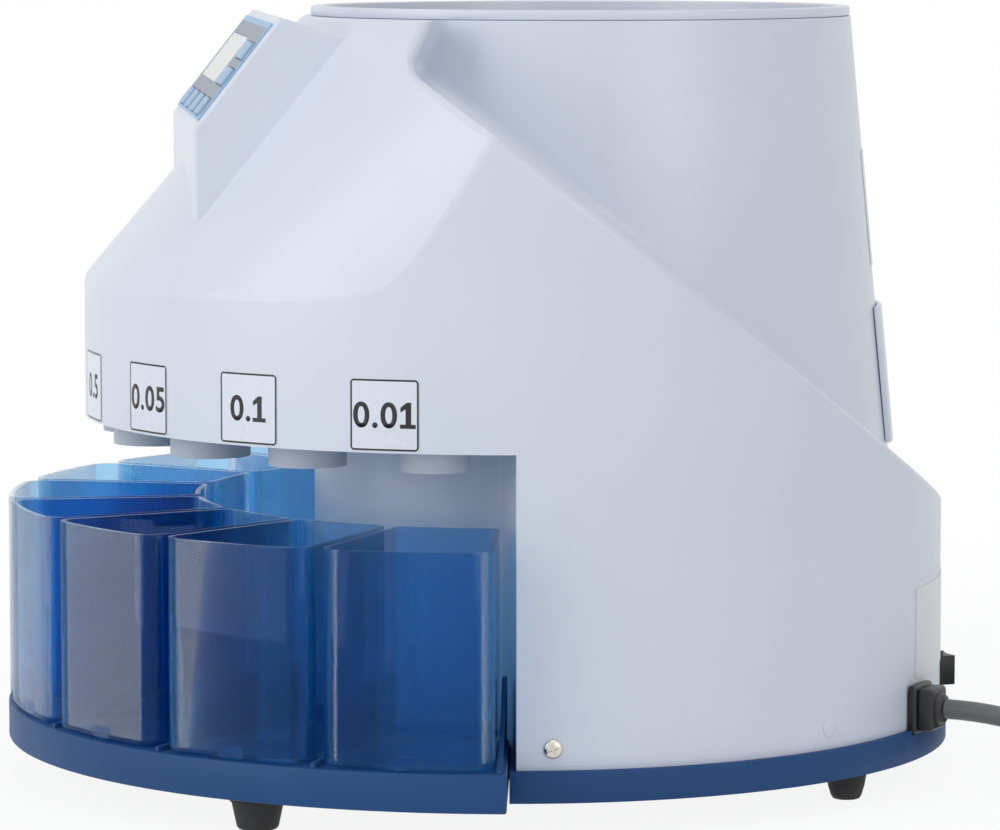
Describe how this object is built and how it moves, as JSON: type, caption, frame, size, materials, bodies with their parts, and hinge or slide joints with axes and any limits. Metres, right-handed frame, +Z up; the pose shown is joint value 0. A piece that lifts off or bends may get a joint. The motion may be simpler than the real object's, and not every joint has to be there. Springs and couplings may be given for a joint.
{
  "type": "coin sorting machine",
  "caption": "Desktop coin sorter with a round hopper on a domed cover, a tilted control panel, and a ring of translucent slide-out bins under sorting outlets.",
  "frame": {"origin": "middle of the machine's footprint, on the surface its feet stand on", "axes": "+Z up, -Y towards the bins at the front, +X across the front, to the right of someone facing it"},
  "size_m": [0.3522, 0.4637, 0.266],
  "materials": {
    "white_plastic": "glossy moulded",
    "blue_plastic": "fine matte moulded",
    "bin_plastic": "translucent",
    "foot_rubber": "matte",
    "cord_rubber": "matte",
    "black_plastic": "satin",
    "grey_plastic": "matte",
    "key_plastic": "satin",
    "panel_film": "satin film",
    "label_film": "printed film",
    "window": "clear",
    "lcd": "satin",
    "circuit_board": "lacquered",
    "steel": "brushed",
    "nickel": "plated",
    "cast_aluminium": "machined",
    "bronze": "turned",
    "motor_paint": "satin paint"
  },
  "bodies": {
    "housing": {"main_cover": "white_plastic", "hopper_bowl": "white_plastic", "outlet_deck": "white_plastic", "core_wall": "white_plastic", "rear_plate": "white_plastic", "base_plate": "blue_plastic", "bin_tray": "blue_plastic", "bin_dividers": "blue_plastic", "front_feet": "foot_rubber", "rear_feet": "foot_rubber", "power_cord": "cord_rubber", "cord_coil": "cord_rubber", "strain_relief": "cord_rubber", "rocker_bezel": "black_plastic", "mains_plug": "black_plastic", "cord_tie": "black_plastic", "wheel_guard": "grey_plastic", "coin_rail": "grey_plastic", "coin_sensors": "grey_plastic", "key_switches": "grey_plastic", "panel_film": "panel_film", "number_labels": "label_film", "rating_label": "label_film", "hopper_sticker": "label_film", "display_window": "window", "lcd_module": "lcd", "main_board": "circuit_board", "display_board": "circuit_board", "sorting_plate": "steel", "rocker_pin": "steel", "motor_bracket": "steel", "cover_screws": "nickel", "plug_pins": "nickel", "bearing_housing": "cast_aluminium", "shaft_bushes": "bronze", "motor": "motor_paint", "power_supply": "motor_paint"},
    "wheel": {"coin_wheel": "cast_aluminium", "wheel_ribs": "cast_aluminium", "wheel_tyre": "foot_rubber", "hub_cap": "grey_plastic", "drive_shaft": "steel", "drive_gear": "grey_plastic"},
    "pinion": {"motor_pinion": "grey_plastic", "motor_shaft": "steel"},
    "bin_1": {"coin_bin_1": "bin_plastic"},
    "bin_2": {"coin_bin_2": "bin_plastic"},
    "bin_3": {"coin_bin_3": "bin_plastic"},
    "bin_4": {"coin_bin_4": "bin_plastic"},
    "bin_5": {"coin_bin_5": "bin_plastic"},
    "bin_6": {"coin_bin_6": "bin_plastic"},
    "bin_7": {"coin_bin_7": "bin_plastic"},
    "bin_8": {"coin_bin_8": "bin_plastic"},
    "row_key_1": {"row_key_1": "key_plastic"},
    "row_key_2": {"row_key_2": "key_plastic"},
    "row_key_3": {"row_key_3": "key_plastic"},
    "row_key_4": {"row_key_4": "key_plastic"},
    "side_key_1": {"side_key_1": "key_plastic"},
    "side_key_2": {"side_key_2": "key_plastic"},
    "rocker": {"power_rocker": "black_plastic"}
  },
  "joints": [
    {"name": "wheel_spin", "type": "hinge", "parent": "housing", "child": "wheel", "pos_m": [0, 0.01, 0.131], "axis": [0, 0, 1], "continuous": true},
    {"name": "pinion_spin", "type": "hinge", "parent": "housing", "child": "pinion", "pos_m": [0, 0.06415, 0.088], "axis": [0, 0, 1], "continuous": true},
    {"name": "bin_1_slide", "type": "slide", "parent": "housing", "child": "bin_1", "axis": [0.9511, -0.309, 0], "range_m": [0, 0.085]},
    {"name": "bin_2_slide", "type": "slide", "parent": "housing", "child": "bin_2", "axis": [0.788, -0.6157, 0], "range_m": [0, 0.085]},
    {"name": "bin_3_slide", "type": "slide", "parent": "housing", "child": "bin_3", "axis": [0.5299, -0.848, 0], "range_m": [0, 0.085]},
    {"name": "bin_4_slide", "type": "slide", "parent": "housing", "child": "bin_4", "axis": [0.2079, -0.9781, 0], "range_m": [0, 0.085]},
    {"name": "bin_5_slide", "type": "slide", "parent": "housing", "child": "bin_5", "axis": [-0.1392, -0.9903, 0], "range_m": [0, 0.085]},
    {"name": "bin_6_slide", "type": "slide", "parent": "housing", "child": "bin_6", "axis": [-0.4695, -0.8829, 0], "range_m": [0, 0.085]},
    {"name": "bin_7_slide", "type": "slide", "parent": "housing", "child": "bin_7", "axis": [-0.7431, -0.6691, 0], "range_m": [0, 0.085]},
    {"name": "bin_8_slide", "type": "slide", "parent": "housing", "child": "bin_8", "axis": [-0.9272, -0.3746, 0], "range_m": [0, 0.085]},
    {"name": "row_key_1_press", "type": "slide", "parent": "housing", "child": "row_key_1", "axis": [0, 0.788, -0.6157], "range_m": [0, 0.0006], "stiffness_N_per_m": 800, "springref_m": -0.0004},
    {"name": "row_key_2_press", "type": "slide", "parent": "housing", "child": "row_key_2", "axis": [0, 0.788, -0.6157], "range_m": [0, 0.0006], "stiffness_N_per_m": 800, "springref_m": -0.0004},
    {"name": "row_key_3_press", "type": "slide", "parent": "housing", "child": "row_key_3", "axis": [0, 0.788, -0.6157], "range_m": [0, 0.0006], "stiffness_N_per_m": 800, "springref_m": -0.0004},
    {"name": "row_key_4_press", "type": "slide", "parent": "housing", "child": "row_key_4", "axis": [0, 0.788, -0.6157], "range_m": [0, 0.0006], "stiffness_N_per_m": 800, "springref_m": -0.0004},
    {"name": "side_key_1_press", "type": "slide", "parent": "housing", "child": "side_key_1", "axis": [0, 0.788, -0.6157], "range_m": [0, 0.0006], "stiffness_N_per_m": 800, "springref_m": -0.0004},
    {"name": "side_key_2_press", "type": "slide", "parent": "housing", "child": "side_key_2", "axis": [0, 0.788, -0.6157], "range_m": [0, 0.0006], "stiffness_N_per_m": 800, "springref_m": -0.0004},
    {"name": "rocker_tilt", "type": "hinge", "parent": "housing", "child": "rocker", "pos_m": [0, 0.15805, 0.03], "axis": [0, 0, 1], "range_deg": [-16, 0]}
  ],
  "couplings": [
    {"joint": "pinion_spin", "follows": "wheel_spin", "ratio": -4}
  ]
}
